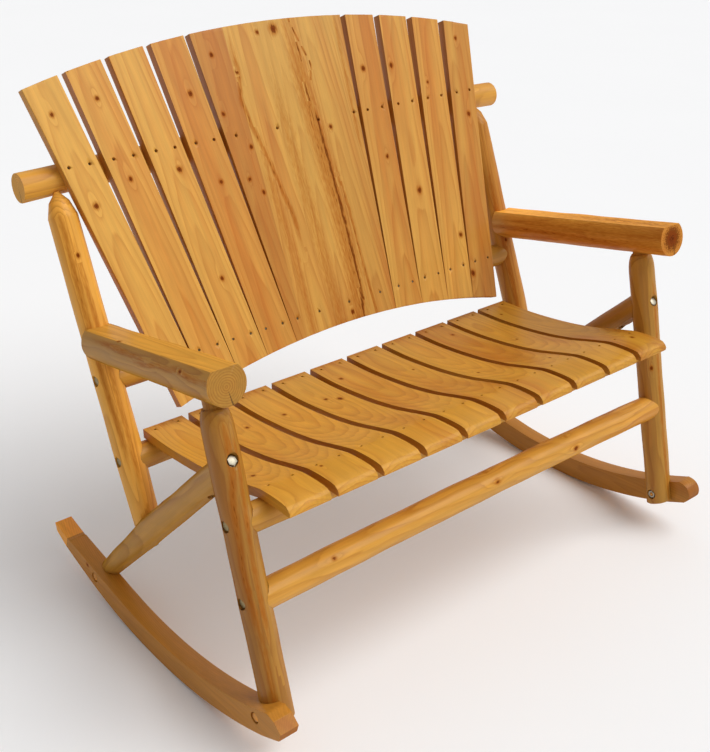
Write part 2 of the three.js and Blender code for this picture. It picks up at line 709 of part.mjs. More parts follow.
// Bolts and nuts
const bolts = { lower_rail_bolt, rear_rail_bolt, front_rail_bolt, stretcher_bolt, brace_foot_bolt,
  post_foot_bolt, rear_foot_bolt, arm_bolt };
for (const [name, bolt] of Object.entries(bolts)) addPair(name, () => boltSolid(bolt), zinc);
addPiece('brace_top_bolt_right', boltSolid(brace_top_bolt_right), zinc);
addPiece('brace_top_bolt_left', mirrored(boltSolid(brace_top_bolt_left)), zinc);
addPair('brace_foot_nut', () => nutSolid(brace_foot_bolt), zinc);
addPair('post_foot_nut', () => nutSolid(post_foot_bolt), zinc);
addPiece('brace_top_nut_right', nutSolid(brace_top_bolt_right), zinc);
addPiece('brace_top_nut_left', mirrored(nutSolid(brace_top_bolt_left)), zinc);

// The middle of the box on the floor comes to the origin: the top rail is the widest piece, and the
// rockers are the deepest
const rocker_ends = rockerOutline(0).map((point) => point.x);
bench.position.x = (top_rail_left_end - top_rail_right_end) / 2;
bench.position.y = -(Math.min(...rocker_ends) + Math.max(...rocker_ends)) / 2;

export default bench;
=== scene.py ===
import math
import random
import bmesh
import bpy
import numpy as np
from mathutils import Matrix, Vector


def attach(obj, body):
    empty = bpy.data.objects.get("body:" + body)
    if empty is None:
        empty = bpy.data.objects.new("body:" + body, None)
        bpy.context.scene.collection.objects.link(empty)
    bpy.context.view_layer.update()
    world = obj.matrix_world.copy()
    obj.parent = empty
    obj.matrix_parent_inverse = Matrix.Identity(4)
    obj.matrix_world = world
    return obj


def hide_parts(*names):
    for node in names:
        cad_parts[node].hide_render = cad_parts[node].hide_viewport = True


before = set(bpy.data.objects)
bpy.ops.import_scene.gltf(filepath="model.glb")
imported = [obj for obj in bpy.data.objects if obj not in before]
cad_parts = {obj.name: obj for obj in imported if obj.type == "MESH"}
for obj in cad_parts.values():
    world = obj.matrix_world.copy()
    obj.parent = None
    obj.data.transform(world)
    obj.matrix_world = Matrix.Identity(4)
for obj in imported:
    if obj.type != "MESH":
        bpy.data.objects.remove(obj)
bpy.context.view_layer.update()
mm = 0.001

# Rockers: planks sawn from straight-grained pine on a true circle, edges eased by a router.
# The finish of the whole bench is an amber varnish over knotty wood, so the wood's shader, and
# the work on meshes that all wooden pieces share, are defined here.
side_sign = {"right": 1, "left": -1}
centre_shift = Vector((-10, 46.2, 0)) * mm
merge_distance = 0.01 * mm
smooth_angle = math.radians(32)
edge_angle = math.radians(50)
far_away = 30.0
wheel_radius = 975 * mm
wheel_centre = Vector((0, 4.7, 975)) * mm
rocker_height, rocker_width = 48 * mm, 36 * mm
rocker_centre = (540 * mm, 60 * mm)
rocker_edge = 2.6 * mm
rocker_skin = 5 * mm
# Turns are degrees round the wheel's centre, from straight below it. The CAD piece has facets of
# 6 degrees below, which touch its circle, and of 3 degrees above, which end on its circle
slice_turn = 0.75
lower_facet, upper_facet = 6, 3
lower_ends = (-27, 19)
lower_turns = np.concatenate((lower_ends[:1], np.arange(-28, 21) * slice_turn, lower_ends[1:]))
lower_growth = np.cos(np.radians(lower_turns - lower_facet * np.round(lower_turns / lower_facet))) - 1
lower_growth[[0, -1]] = 0
upper_turns = np.arange(-32, 9) * slice_turn
upper_growth = (np.cos(np.radians(upper_turns % upper_facet - upper_facet / 2))
                / math.cos(math.radians(upper_facet / 2)) - 1)
nose_round = {"right": 23.5 * mm, "left": 0}
nose_turns = range(-70, 61, 10)
nose_length = 24 * mm
# Tones are (brightness, redness); knots are (up, along, radius) on a rocker's outer face, in mm
rocker_knot_depth, knot_stretch = 9 * mm, 1.3
rocker_tones = {"right": (0.84, 0.16), "left": (0.99, 0.08)}
rocker_knots = {"right": [(12, -120, 4)], "left": [(8, 262, 3)]}
# Painted highlight: faces behind heel_y are painted paler by the next factor, standing in for light on the
# rocker's rear end facet
heel_y = 343 * mm
heel_painted_light = 1.8
nose_redness = 0.8


class Value:
    """A shader socket; arithmetic on it adds Math nodes to its tree."""

    def __init__(self, tree, socket):
        self.tree = tree
        self.socket = socket

    def make(self, kind, settings, inputs, output=0):
        node = self.tree.nodes.new(kind)
        for name, setting in settings.items():
            setattr(node, name, setting)
        for name, value in inputs.items():
            if isinstance(value, Value):
                self.tree.links.new(value.socket, node.inputs[name])
            else:
                node.inputs[name].default_value = value
        return Value(self.tree, node.outputs[output])

    def math(self, operation, *terms):
        return self.make("ShaderNodeMath", {"operation": operation}, dict(enumerate(terms)))

    def __add__(self, other):
        return self.math("ADD", self, other)

    __radd__ = __add__

    def __sub__(self, other):
        return self.math("SUBTRACT", self, other)

    def __rsub__(self, other):
        return self.math("SUBTRACT", other, self)

    def __mul__(self, other):
        return self.math("MULTIPLY", self, other)

    __rmul__ = __mul__

    def __truediv__(self, other):
        return self.math("DIVIDE", self, other)

    def __rtruediv__(self, other):
        return self.math("DIVIDE", other, self)

    def __pow__(self, other):
        return self.math("POWER", self, other)

    def step(self, low, high):
        """0 below low, 1 above high, smooth between; low may be the greater one."""
        return self.make("ShaderNodeMapRange", {"interpolation_type": "SMOOTHSTEP"},
                         {"Value": self, "From Min": low, "From Max": high})

    def noise(self, stretch, detail=2.0):
        """Noise on this place, scaled along its three directions."""
        place = self.make("ShaderNodeMapping", {}, {"Vector": self, "Scale": stretch})
        return self.make("ShaderNodeTexNoise", {}, {"Vector": place, "Scale": 1.0, "Detail": detail})

    def blend(self, other, factor):
        """This colour passing into another one."""
        return self.make("ShaderNodeMix", {"data_type": "RGBA"}, {0: factor, 6: self, 7: other}, 2)

    def times(self, factor):
        """This colour multiplied by a plain value."""
        return self.make("ShaderNodeVectorMath", {"operation": "SCALE"}, {0: self, "Scale": factor})


def colour(red, green, blue):
    """A colour as it is seen on a screen, 0 to 255, in the renderer's linear values."""
    def linear(channel):
        share = channel / 255
        return share / 12.92 if share <= 0.04045 else ((share + 0.055) / 1.055) ** 2.4
    return (linear(red), linear(green), linear(blue), 1.0)


def wood(name, early, late, heart, ring_width, contrast, gloss, mottle):
    """Varnished knotty wood. The mesh carries each point's place in its log or board, the offset to
    the nearest knot in knot radii, and the piece's brightness, redness and share of end grain."""
    material = bpy.data.materials.new(name)
    material.use_nodes = True
    tree = material.node_tree
    tree.nodes.clear()
    start = Value(tree, None)

    def attribute(title):
        return start.make("ShaderNodeAttribute", {"attribute_name": title}, {}, "Vector")

    def parts(vector):
        node = vector.make("ShaderNodeSeparateXYZ", {}, {0: vector}).socket.node
        return [Value(tree, output) for output in node.outputs]

    place = attribute("timber")
    across, depth, along = parts(place)
    bright, red, end = parts(attribute("tone"))
    knot_place = attribute("knot")
    knot_distance = start.make("ShaderNodeVectorMath", {"operation": "LENGTH"}, {0: knot_place}, 1)
    knot_across, knot_depth, knot_along = parts(knot_place)

    wave = place.noise((13.0, 13.0, 1.7), 2.5)
    fibre = place.noise((1500.0, 1500.0, 26.0), 1.0)
    streak = place.noise((170.0, 170.0, 3.4), 2.0)
    patch = place.noise((24.0, 24.0, 1.1), 1.5)
    blotch = place.noise((60.0, 60.0, 14.0), 2.0)
    ragged = place.noise((420.0, 420.0, 70.0), 1.0)

    # Rings: distance from the pith, pushed about by the tree's growth and round its knots
    eye = (knot_across * knot_across + knot_depth * knot_depth + (knot_along * 0.34) ** 2.0) * 0.30
    swelling = 1.0 / (1.0 + eye * eye)
    reach = (across * across + depth * depth) ** 0.5
    rings = (reach + along * 0.016 + (wave - 0.5) * 0.022 + swelling * 0.006) / ring_width
    ring_share = (rings + (streak - 0.5) * 0.16).math("FRACT", rings + (streak - 0.5) * 0.16)
    late_share = ring_share ** 2.6 * ring_share.step(1.0, 0.88)
    plain = (blotch * 0.5 + patch * 0.5).step(0.30, 0.66) + red * 0.5
    line = late_share * (contrast * plain * 1.2 + end * 0.12 + 0.08)

    heart_share = (patch + red * 0.62 - 0.34).step(0.22, 0.62)
    body = Value(tree, None).make("ShaderNodeRGB", {}, {})
    body.socket.default_value = early
    wooden = body.blend(late, line).blend(heart, heart_share * 0.72)
    light = bright * (1.0 + (fibre - 0.5) * 0.20 + (streak - 0.5) * 0.30 + (patch - 0.5) * mottle
                      + (blotch - 0.5) * mottle * 0.7)
    wooden = wooden.times(light * (1.0 - end * 0.05))

    # Knots: a brown core with its own rings, a dark rim and a darker, redder surround
    edge = knot_distance + (ragged - 0.5) * 1.3
    core = edge.step(1.00, 0.55)
    surround = edge.step(2.4, 0.7)
    rim = edge.step(0.45, 0.80) * edge.step(1.15, 0.85)
    wooden = wooden.blend(colour(164, 82, 16), surround * 0.70)
    wooden = wooden.blend(colour(126, 54, 6), core * 0.92)
    wooden = wooden.blend(colour(66, 26, 4), rim * 0.50 + edge.step(0.4, 0.1) * 0.6)

    # End grain: a few radial drying checks
    turn = across.math("ARCTAN2", across, depth)
    aside = turn + 1.75 + (wave - 0.5) * 0.9
    check = aside.math("ABSOLUTE", aside).step(0.075, 0.02) * end * reach.step(0.004, 0.012)
    wooden = wooden.blend(colour(52, 28, 12), check * 0.7)

    height = fibre * 0.35 + late_share * 0.15 + streak * 0.3 - check * 1.5 - rim * 0.6
    normal = start.make("ShaderNodeBump", {}, {"Strength": 0.35, "Distance": 0.0004, "Height": height})
    shine = start.make("ShaderNodeLayerWeight", {}, {"Blend": 0.5}, "Facing").step(0.88, 0.45)
    shine = shine * (1.0 - surround * 0.85)
    shader = start.make("ShaderNodeBsdfPrincipled", {}, {
        "Base Color": wooden,
        "Roughness": gloss + (fibre - 0.5) * 0.16 + end * 0.22,
        "Specular IOR Level": shine * 0.20, "Coat Weight": shine * 0.08, "Coat Roughness": 0.18,
        "Normal": normal,
    })
    output = tree.nodes.new("ShaderNodeOutputMaterial")
    tree.links.new(shader.socket, output.inputs["Surface"])
    return material


def cad_copy(node):
    """The CAD node's mesh with its loose triangles joined."""
    shape = bmesh.new()
    shape.from_mesh(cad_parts[node].data)
    bmesh.ops.remove_doubles(shape, verts=shape.verts, dist=merge_distance)
    return shape


def slice_mesh(shape, point, normal, offsets):
    for offset in offsets:
        everything = shape.verts[:] + shape.edges[:] + shape.faces[:]
        bmesh.ops.bisect_plane(shape, geom=everything, dist=merge_distance / 10,
                               plane_co=point + normal * float(offset), plane_no=normal)


def spread(extent, spacing):
    """Offsets at even steps, half a step in from the least of extent."""
    return np.arange(extent.min() + spacing / 2, extent.max(), spacing)


def places(shape):
    return np.array([vertex.co for vertex in shape.verts])


def put_back(shape, points):
    for vertex, point in zip(shape.verts, points):
        vertex.co = point


def sharp_edges(shape, least_length, of_sides=False):
    """The longer edges where the surface turns sharply, or only those round the faces that look
    to the left or the right."""
    return [edge for edge in shape.edges
            if len(edge.link_faces) == 2 and edge.calc_length() > least_length
            and edge.calc_face_angle(0) > edge_angle
            and (not of_sides or any(abs(face.normal.x) > 0.9 for face in edge.link_faces))]


def ease(shape, edges, width, segments=2):
    bmesh.ops.bevel(shape, geom=edges, offset=width, segments=segments, profile=0.5,
                    affect="EDGES", material=-1, clamp_overlap=True)


def made(shape, name):
    """The bmesh as an object with smooth shading, broken where the surface turns sharply."""
    bmesh.ops.recalc_face_normals(shape, faces=shape.faces)
    mesh = bpy.data.meshes.new(name)
    shape.to_mesh(mesh)
    shape.free()
    mesh.polygons.foreach_set("use_smooth", [True] * len(mesh.polygons))
    mesh.set_sharp_from_angle(angle=smooth_angle)
    piece = bpy.data.objects.new(name, mesh)
    bpy.context.scene.collection.objects.link(piece)
    return piece


def from_line(points, line, radii):
    """The offsets of points from a knot or from a streak of heartwood, in its radii. The line is
    one place, or several in order along the timber."""
    line = np.array(line).reshape(-1, 3)
    closest = [np.interp(points[:, 2], line[:, 2], line[:, axis]) for axis in range(3)]
    return (points - np.stack(closest, 1)) / np.array(radii)


def face_vectors(mesh, title):
    values = np.zeros(len(mesh.polygons) * 3)
    mesh.polygons.foreach_get(title, values)
    return values.reshape(-1, 3)


def grain(piece, origin, axes, pith, knots, tone, pieces_of=None):
    """Writes what the wood's shader reads. axes are the directions across, through and along the
    timber; knots are (line, radii) in it; pieces_of may say place and tone by polygon."""
    mesh = piece.data
    corner_vertex = np.zeros(len(mesh.loops), int)
    mesh.loops.foreach_get("vertex_index", corner_vertex)
    points = np.zeros(len(mesh.vertices) * 3)
    mesh.vertices.foreach_get("co", points)
    turn = np.array([list(axis) for axis in axes])
    local = (points.reshape(-1, 3)[corner_vertex] - np.array(origin)) @ turn.T
    counts = np.zeros(len(mesh.polygons), int)
    mesh.polygons.foreach_get("loop_total", counts)
    first = np.concatenate(([0], np.cumsum(counts)[:-1]))
    middles = np.add.reduceat(local, first) / counts[:, None]
    nearest = np.full((len(local), 3), far_away)
    shortest = np.full(len(counts), far_away)
    for line, radii in knots:
        distance = np.linalg.norm(from_line(middles, line, radii), axis=1)
        closer = distance < shortest
        shortest[closer] = distance[closer]
        corners = np.repeat(closer, counts)
        nearest[corners] = from_line(local[corners], line, radii)
    ended = np.clip((np.abs(face_vectors(mesh, "normal") @ turn[2]) - 0.55) / 0.2, 0, 1)
    tones = np.empty((len(local), 3))
    tones[:, 0], tones[:, 1] = tone
    tones[:, 2] = np.repeat(ended, counts)
    local = local + np.array(pith)
    if pieces_of:
        pieces_of(mesh, local, tones, counts)
    for title, values in (("timber", local), ("knot", nearest), ("tone", tones)):
        layer = mesh.attributes.new(title, "FLOAT_VECTOR", "CORNER")
        layer.data.foreach_set("vector", values.astype(np.float32).ravel())


def finish_piece(piece, material, slot, *nodes):
    piece.data.materials.clear()
    piece.data.materials.append(material)
    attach(piece, "root")
    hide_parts(*nodes)


def round_nose(shape, radius):
    """Squares a rocker's front end, then planes it to a half round of the same reach."""
    points = places(shape)
    tip = points[points[:, 1].argmin()]
    lean = math.atan2(tip[1] - wheel_centre.y, wheel_centre.z - tip[2])
    outward = Vector((0, math.sin(lean), -math.cos(lean)))
    ahead = Vector((0, -math.cos(lean), -math.sin(lean)))
    middle = wheel_centre + outward * (wheel_radius - rocker_height / 2)
    reach = (Vector(tip) - middle).dot(ahead)
    offset = points - np.array(middle)
    along, level = offset @ np.array(ahead), offset @ np.array(outward)
    corners = (along > reach - nose_length) & (np.abs(level) > rocker_height / 6)
    points += np.outer(np.where(corners, reach - along, 0), ahead)
    points += np.outer(np.where(corners, np.sign(level) * rocker_height / 2 - level, 0), outward)
    put_back(shape, points)
    middle += ahead * (reach - radius)
    for turn in nose_turns:
        normal = ahead * math.cos(math.radians(turn)) - outward * math.sin(math.radians(turn))
        cut = bmesh.ops.bisect_plane(shape, geom=shape.verts[:] + shape.edges[:] + shape.faces[:],
                                     dist=merge_distance / 10, plane_co=middle + normal * radius,
                                     plane_no=normal, clear_outer=True)
        rim = [part for part in cut["geom_cut"] if isinstance(part, bmesh.types.BMEdge)]
        bmesh.ops.edgenet_fill(shape, edges=rim)


def make_round(shape):
    """Moves a rocker's lower and upper facets to the arcs that they stand for."""
    points = places(shape)
    offset = points[:, 1:] - np.array(wheel_centre)[1:]
    distance = np.hypot(offset[:, 0], offset[:, 1])
    turn = np.degrees(np.arctan2(offset[:, 0], -offset[:, 1]))
    below = np.interp(turn, lower_turns, lower_growth) * (distance > wheel_radius - rocker_skin)
    above = np.interp(turn, upper_turns, upper_growth)
    above *= distance < wheel_radius - rocker_height + rocker_skin
    points[:, 1:] += offset * (below + above)[:, None]
    put_back(shape, points)


def lit_heel_red_nose(mesh, local, tones, counts):
    """Painted highlight: the rear end facet of a rocker, which faces up and back, is painted paler as if
    lit; its nose is redder.
    """
    far_back = np.repeat(face_vectors(mesh, "center")[:, 1], counts)
    tones[:, 0] *= np.where(far_back > heel_y, heel_painted_light, 1)
    tones[:, 1] += np.where(far_back < 0, nose_redness * tones[:, 2], 0)


rocker_wood = wood("rocker_wood", colour(194, 130, 46), colour(150, 88, 22), colour(158, 88, 24),
                   3.4 * mm, 0.34, 0.38, 0.30)

for side, sign in side_sign.items():
    shape = cad_copy(f"rocker_{side}")
    bmesh.ops.dissolve_limit(shape, angle_limit=math.radians(0.5), verts=shape.verts, edges=shape.edges,
                             use_dissolve_boundaries=False)
    if nose_round[side]:
        round_nose(shape, nose_round[side])
    ease(shape, sharp_edges(shape, 1.2 * mm, of_sides=True), rocker_edge, 3)
    for turn in np.arange(-35, 34) * slice_turn:
        normal = Vector((0, math.cos(math.radians(turn)), math.sin(math.radians(turn))))
        slice_mesh(shape, wheel_centre, normal, [0])
    make_round(shape)
    origin = Vector((sign * rocker_centre[0] + centre_shift.x, 0, rocker_centre[1]))
    piece = made(shape, f"rocker_{side}_plank")
    knots = [((up * mm, sign * rocker_width / 2, along * mm),
              (radius * mm, rocker_knot_depth, radius * knot_stretch * mm))
             for up, along, radius in rocker_knots[side]]
    grain(piece, origin, (Vector((0, 0, 1)), Vector((1, 0, 0)), Vector((0, 1, 0))),
          (0.020, -0.055, 1.0 + sign), knots, rocker_tones[side], lit_heel_red_nose)
    finish_piece(piece, rocker_wood, "rocker_wood", f"rocker_{side}")


# Logs of the frame: peeled and turned roughly round, so each keeps the slight waves of the tree.
# Both front posts lean back, neck down under the arm and are lapped on the rockers. Radii and
# places of logs are in mm; knots are raised a little, and streaks of heartwood run along them.
log_wood = wood("log_wood", colour(215, 155, 62), colour(162, 96, 26), colour(170, 98, 26),
                4.2 * mm, 0.60, 0.36, 0.50)
ring_spacing = 20 * mm
log_planes = 20
surface_share, surface_slack = 0.982, 0.6 * mm
log_wave, wave_lengths = 0.9 * mm, (0.09, 0.32)
knot_rise, knot_spread, log_knot_stretch = 0.9 * mm, 1.9, 1.35
streak_stretch = 9


def log(node, title, start, direction, side, spine, seed, tone, knots=(), streaks=(), pieces_of=None):
    """A CAD log on its true round. spine says its radius, and how far its line lies to the side, at
    distances along it; knots are (along, angle, radius) in millimetres and degrees; streaks are
    (fade, half width, line of along and angle)."""
    draw = random.Random(seed)
    direction = direction.normalized()
    across = (side - direction * side.dot(direction)).normalized()
    third = direction.cross(across)
    shape = cad_copy(node)
    for step in range(log_planes):
        angle = math.pi * step / log_planes
        slice_mesh(shape, start, across * math.cos(angle) + third * math.sin(angle), [0])
    reach = (places(shape) - np.array(start)) @ np.array(direction)
    slice_mesh(shape, start, direction, spread(reach, ring_spacing))

    points = places(shape)
    offset = points - np.array(start)
    along = offset @ np.array(direction)
    stations = np.array(spine) * mm
    shift = np.interp(along, stations[:, 0], stations[:, 2])
    radius = np.interp(along, stations[:, 0], stations[:, 1])
    flat_u = offset @ np.array(across) - shift
    flat_v = offset @ np.array(third)
    distance = np.hypot(flat_u, flat_v)
    angle = np.arctan2(flat_v, flat_u)
    outside = (distance > radius * surface_share) & (distance < radius + surface_slack)
    waves = np.zeros(len(points))
    for turns in (0, 1, 2, 1, 3, 0):
        length = draw.uniform(*wave_lengths)
        waves += np.cos(turns * angle + 2 * math.pi * (along / length + draw.random()))
    new = radius - log_wave * (0.5 + waves / 6)
    found = []
    for place, heading, size in knots:
        middle = math.radians(heading)
        level = np.interp(place * mm, stations[:, 0], stations[:, 1])
        found.append(((level * math.cos(middle), level * math.sin(middle), place * mm),
                      (size * mm, size * mm, size * log_knot_stretch * mm)))
        gap = np.angle(np.exp(1j * (angle - middle))) * level
        new += knot_rise * np.exp(-(np.hypot(gap, along - place * mm) / (size * knot_spread * mm)) ** 2)
    for fade, width, line in streaks:
        raised = []
        for place, heading in line:
            level = np.interp(place * mm, stations[:, 0], stations[:, 1]) + fade * width * mm
            middle = math.radians(heading)
            raised.append((level * math.cos(middle), level * math.sin(middle), place * mm))
        found.append((raised, (width * mm, width * mm, streak_stretch * width * mm)))
    scale = np.where(outside, new / np.maximum(distance, 1e-6), 1)
    lines = np.array(start) + np.outer(along, direction) + np.outer(shift, across)
    points = lines + (points - lines) * scale[:, None]
    put_back(shape, points)
    piece = made(shape, title)
    grain(piece, start, (across, third, direction),
          (draw.uniform(-4, 4) * mm, draw.uniform(-4, 4) * mm, draw.uniform(0, 9)), found, tone,
          pieces_of)
    finish_piece(piece, log_wood, "log_wood", node)


def some_knots(seed, count, first, last, least=2.5, most=4.0):
    draw = random.Random(seed)
    return [(draw.uniform(first, last), draw.uniform(0, 360), draw.uniform(least, most))
            for _ in range(count)]


front_lean = math.tan(math.radians(13.07))
splay = math.tan(math.radians(1.1))
front_radius = 27
front_x, front_splay_rise, front_foot = 513, 24, 46
front_rail_y, front_rail_z = -294.3, 410.8
neck_z, neck_rise, tenon_radius, tenon_top = 566, 38, 16.5, 634
for side, sign in side_sign.items():
    foot = Vector((sign * (front_x - front_splay_rise * splay),
                   front_rail_y + (front_foot - front_rail_z) * front_lean, front_foot)) * mm + centre_shift
    line = Vector((sign * splay, front_lean, 1))
    steep = line.normalized().z
    neck = (neck_z - front_foot) / steep
    spine = [(-20, front_radius, 0), (neck, front_radius, 0)]
    for step in range(1, 6):
        angle = math.radians(18 * step)
        spine.append((neck + neck_rise * math.sin(angle),
                      tenon_radius + (front_radius - tenon_radius) * math.cos(angle), 0))
    spine.append(((tenon_top - front_foot) / steep, tenon_radius, 0))
    knots = {"right": [(330, 228, 3), (455, 300, 3)], "left": [(246, 254, 3), (224, 248, 2)]}[side]
    streaks = {"right": [(1.25, 4, [(60, 270), (260, 262), (470, 272)])],
               "left": [(1.10, 5, [(252, 228), (300, 224), (360, 232), (416, 238), (470, 258),
                                   (500, 262)]),
                        (1.20, 4, [(225, 262), (300, 264), (360, 270), (430, 282), (480, 290)]),
                        (1.30, 5, [(60, 236), (140, 240), (205, 236)])]}[side]
    log(f"front_post_{side}", f"front_post_{side}_log", foot, line, Vector((1, 0, 0)), spine,
        31 + sign, {"right": (0.71, 0.18), "left": (0.66, 0.36)}[side], knots, streaks)

# Diagonal braces: slimmer logs from the rockers' rear up to the front posts. They are thickest
# in the middle; the lower side is straight up to there, and the upper side from there on.
brace_lean = math.radians(46.86)
brace_line = Vector((0, -math.sin(brace_lean), math.cos(brace_lean)))
brace_side = Vector((0, math.cos(brace_lean), math.sin(brace_lean)))
brace_end, brace_foot_y, brace_foot_z, brace_x = 40, 189, 68, 522
foot_radius, middle_radius, top_radius = 20, 26.7, 24.4
middle_station, top_station = 307, 683
for side, sign in side_sign.items():
    foot = (Vector((sign * brace_x, brace_foot_y, brace_foot_z)) * mm + centre_shift
            - brace_line * brace_end * mm)
    spine = [(0, foot_radius, foot_radius - middle_radius),
             (brace_end, foot_radius, foot_radius - middle_radius),
             (middle_station, middle_radius, 0), (top_station, top_radius, middle_radius - top_radius)]
    log(f"diagonal_brace_{side}", f"diagonal_brace_{side}_log", foot, brace_line, brace_side, spine,
        47 + sign, {"right": (0.70, 0.20), "left": (0.70, 0.0)}[side], [(264, 196, 3), (430, 30, 3)])

# Rear posts: raked logs with a coned tenon on top, their feet coped over the braces. They thin
# out a little below the seat.
rear_lean = math.tan(math.radians(20.76))
rear_x, rear_start_z, rear_full_z, rear_shoulder_z = 512, 250, 385.2, 783
rear_rail_y, rear_rail_z = 70.4, 359.7
rear_radius, rear_thin = 27, 25.2
for side, sign in side_sign.items():
    foot = Vector((sign * rear_x, rear_rail_y + (rear_start_z - rear_rail_z) * rear_lean,
                   rear_start_z)) * mm + centre_shift
    line = Vector((0, rear_lean, 1))
    steep = line.normalized().z
    full = (rear_full_z - rear_start_z) / steep
    shoulder = (rear_shoulder_z - rear_start_z) / steep
    spine = [(-60, 25, 0), (full - 150, rear_thin, 0), (full, rear_radius, 0), (shoulder, rear_radius, 0),
             (shoulder + 26, 19, 0), (shoulder + 38, 9, 0), (shoulder + 44, 4.5, 0)]
    knots = {"right": [(300, 250, 3), (140, 215, 3)], "left": [(498, 262, 3)]}[side]
    streaks = {"right": [(1.30, 5, [(80, 240), (400, 236)])],
               "left": [(1.25, 5, [(180, 236), (330, 226), (520, 236)]),
                        (1.40, 4, [(120, 264), (480, 262)])]}[side]
    log(f"rear_post_{side}", f"rear_post_{side}_log", foot, line, Vector((1, 0, 0)), spine,
        63 + sign, {"right": (0.88, 0.28), "left": (1.17, 0.08)}[side], knots, streaks)

# Rails between the side frames: the two that carry the back boards, the two that carry the seat,
# and a stretcher; their ends are coped round the posts and the top one runs past them.
back_lean = math.radians(23.82)
back_up = Vector((0, math.sin(back_lean), math.cos(back_lean)))
back_front = Vector((0, -math.cos(back_lean), math.sin(back_lean)))
back_rail_y, back_rail_z = 124.53, 502.5
bow_steps = 16
# Each rail's y, z, radius, reach to the left and to the right, bow and tone
rails = {
    "top_back_rail": (270.1, 836.3, 27, 570, 590, 9.6, (1.04, 0.08)),
    "lower_back_rail": (back_rail_y, back_rail_z, 24.5, 512, 512, 0, (0.80, 0.10)),
    "rear_seat_rail": (rear_rail_y, rear_rail_z, 25.5, 512, 512, 0, (0.78, 0.08)),
    "front_seat_rail": (front_rail_y, front_rail_z, 25.5, 519, 519, 0, (0.82, 0.10)),
    "front_stretcher": (-324.9, 278.9, 26, 517, 517, 5.6, (0.99, 0.16)),
}
rail_knots = {
    "top_back_rail": [(520, 160, 4), (1085, 60, 3)],
    "front_stretcher": [(528, 352, 4), (536, 50, 4), (746, 6, 3), (756, 70, 4), (150, 40, 3)],
}
for number, (node, (y, z, radius, left, right, bow, tone)) in enumerate(rails.items()):
    start = Vector((-left, y, z)) * mm + centre_shift
    length = left + right
    bow_side = back_up if node == "top_back_rail" else Vector((0, 0, 1))
    spine = [(length * step / bow_steps, radius, bow * (1 - (2 * step / bow_steps - 1) ** 2))
             for step in range(bow_steps + 1)]
    log(node, f"{node}_log", start, Vector((1, 0, 0)), bow_side, spine, 80 + number, tone,
        rail_knots.get(node, some_knots(90 + number, 4, 60, length - 60)))

# Armrests: the thickest logs, planed flat on top. They are coped on the rear posts and sit on the
# front posts' necks, and the right one runs further past its post.
arm_slope = math.radians(10)
arm_line = Vector((0, -math.cos(arm_slope), math.sin(arm_slope)))
arm_side = Vector((0, math.sin(arm_slope), math.cos(arm_slope)))
arm_x, arm_z, arm_behind, arm_radius = 515, 642, 400, 36
arm_front_y = front_rail_y + (arm_z - front_rail_z) * front_lean
# Painted light: this factor makes the arms' flat tops paler than their rounds, partly planed wood, partly
# painted light from above
planed_and_lit_tone = 1.58


def planed_and_lit_top(mesh, local, tones, counts):
    """Painted light: the flat top of an armrest is painted paler than its round, partly for the paler
    planed wood, partly standing in for the light that falls on the top.
    """
    flat = face_vectors(mesh, "normal") @ np.array(arm_side) > 0.99
    tones[:, 0] *= np.where(np.repeat(flat, counts), planed_and_lit_tone, 1)


for side, sign in side_sign.items():
    start = Vector((sign * arm_x, arm_front_y, arm_z)) * mm + centre_shift - arm_line * (arm_behind * mm)
    spine = [(-50, arm_radius, 0), (600, arm_radius, 0)]
    knots = {"right": [], "left": [(146, 38, 3), (360, 64, 3), (268, 74, 2)]}[side]
    streaks = {"right": [(-1.5, 24, [(400, 0), (488, 0)]),
                         (1.15, 6, [(60, 96), (224, 100), (332, 106), (420, 102)]),
                         (1.30, 5, [(120, 70), (300, 76), (440, 80)])],
               "left": [(1.20, 5, [(320, 70), (352, 62), (384, 72)]), (1.30, 5, [(120, 60), (200, 66)]),
                        (1.30, 4, [(250, 80), (290, 70)])]}[side]
    log(f"armrest_{side}", f"armrest_{side}_log", start, arm_line, arm_side, spine, 101 + sign,
        {"right": (1.18, 0.30), "left": (0.66, 0.04)}[side], knots, streaks, planed_and_lit_top)

# Back: flat-sawn boards 19 mm thick on the fronts of two rails, and a wide panel glued from
# several boards; all are sawn to an arc above and an arch below, and screwed through the front.
slat_wood = wood("slat_wood", colour(224, 168, 76), colour(182, 110, 32), colour(182, 102, 28),
                 5.8 * mm, 0.52, 0.36, 0.34)
board_grid = 10 * mm
board_edge = 1.3 * mm
# Painted shade: the side faces of boards and slats in the gaps are painted darker and redder by these
painted_gap_shade, painted_gap_redness = 0.86, 0.4
board_width, board_thickness, board_gap, boards_foot = 73, 19, 0.5, -34
panel_foot_half, panel_top_half, panel_length = 130, 182, 620.4
panel_lean = math.atan((panel_top_half - panel_foot_half) / panel_length)
opening, lean_step = math.radians(1.17), math.radians(1.55)
rail_to_boards = 24.8
back_origin = Vector((0, back_rail_y, back_rail_z)) * mm + centre_shift + back_front * rail_to_boards * mm
screw_rows, screw_spread = (3.5, 376.5), 20
screw_depth, screw_radius, screw_sides = 2.6 * mm, 2.7 * mm, 14
cutter_height = 8 * mm
screw_heads = []


def on_back(x, t, out=0.0):
    """A place on the back's rear plane: across, up along the boards, and out to the front, in mm."""
    return back_origin + Vector((x * mm, 0, 0)) + back_up * (t * mm) + back_front * (out * mm)


